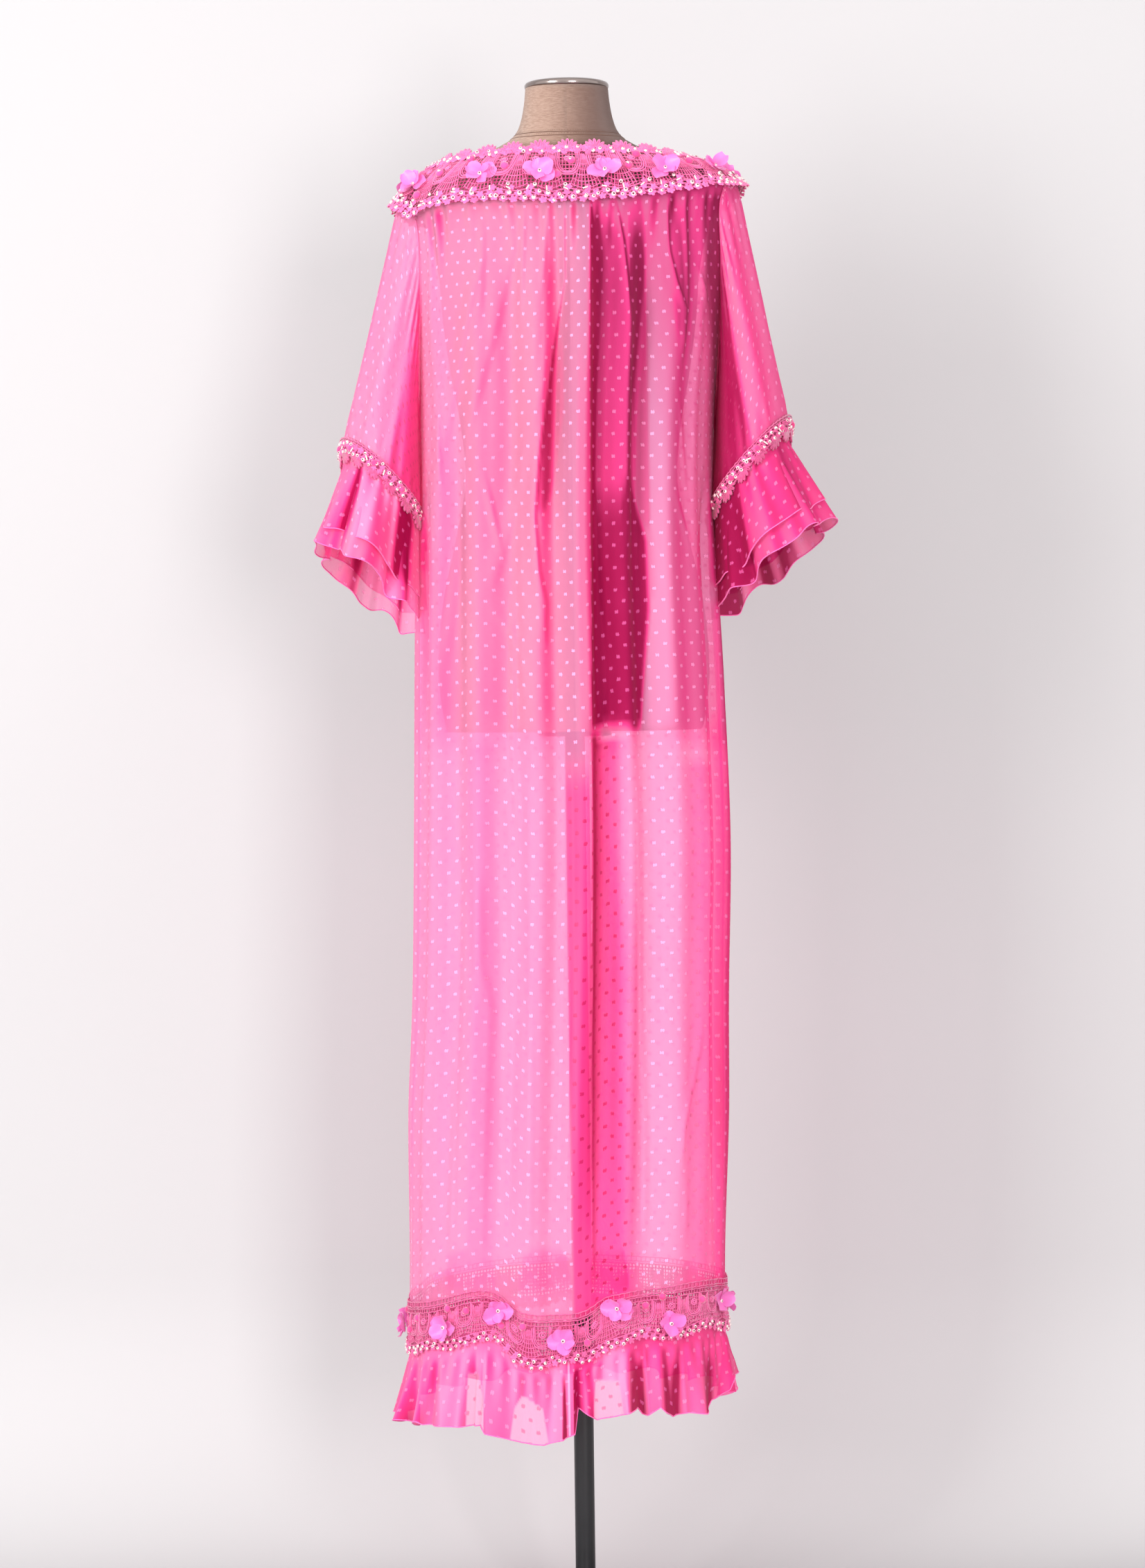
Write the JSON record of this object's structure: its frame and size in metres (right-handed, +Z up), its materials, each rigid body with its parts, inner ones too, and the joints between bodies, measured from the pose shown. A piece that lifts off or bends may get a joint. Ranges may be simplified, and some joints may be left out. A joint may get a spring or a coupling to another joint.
{
  "type": "maxi dress on dress form",
  "caption": "Sheer dotted maxi dress with lace yoke, ruffled bell sleeves, lace hem band and hem ruffle, worn by a limbless dress form on a pole with a round base.",
  "frame": {"origin": "centre of the base plate's underside, on the floor, under the pole's axis", "axes": "+Z up along the pole; +X to the right as the picture shows it; -Y towards the camera, which is the garment's back; +Y is the garment's front"},
  "size_m": [0.6071, 0.33, 1.769],
  "materials": {
    "chiffon": "sheer dotted chiffon",
    "lace": "guipure lace with beads and fabric flowers",
    "form_canvas": "unbleached linen over a hard form",
    "form_cap": "polished",
    "stand": "black satin"
  },
  "bodies": {
    "root": {"stand_base": "stand", "stand_pole": "stand", "stand_flange": "stand", "form_torso": "form_canvas", "form_cap": "form_cap", "yoke_back": "lace", "yoke_front": "lace", "body_back": "chiffon", "body_front": "chiffon", "sleeve_left": "chiffon", "sleeve_right": "chiffon", "sleeve_left_trim": "lace", "sleeve_right_trim": "lace", "sleeve_left_ruffle_upper": "chiffon", "sleeve_left_ruffle_lower": "chiffon", "sleeve_right_ruffle_upper": "chiffon", "sleeve_right_ruffle_lower": "chiffon", "hem_band_back": "lace", "hem_band_front": "lace", "hem_ruffle_back": "chiffon", "hem_ruffle_front": "chiffon"}
  },
  "joints": []
}
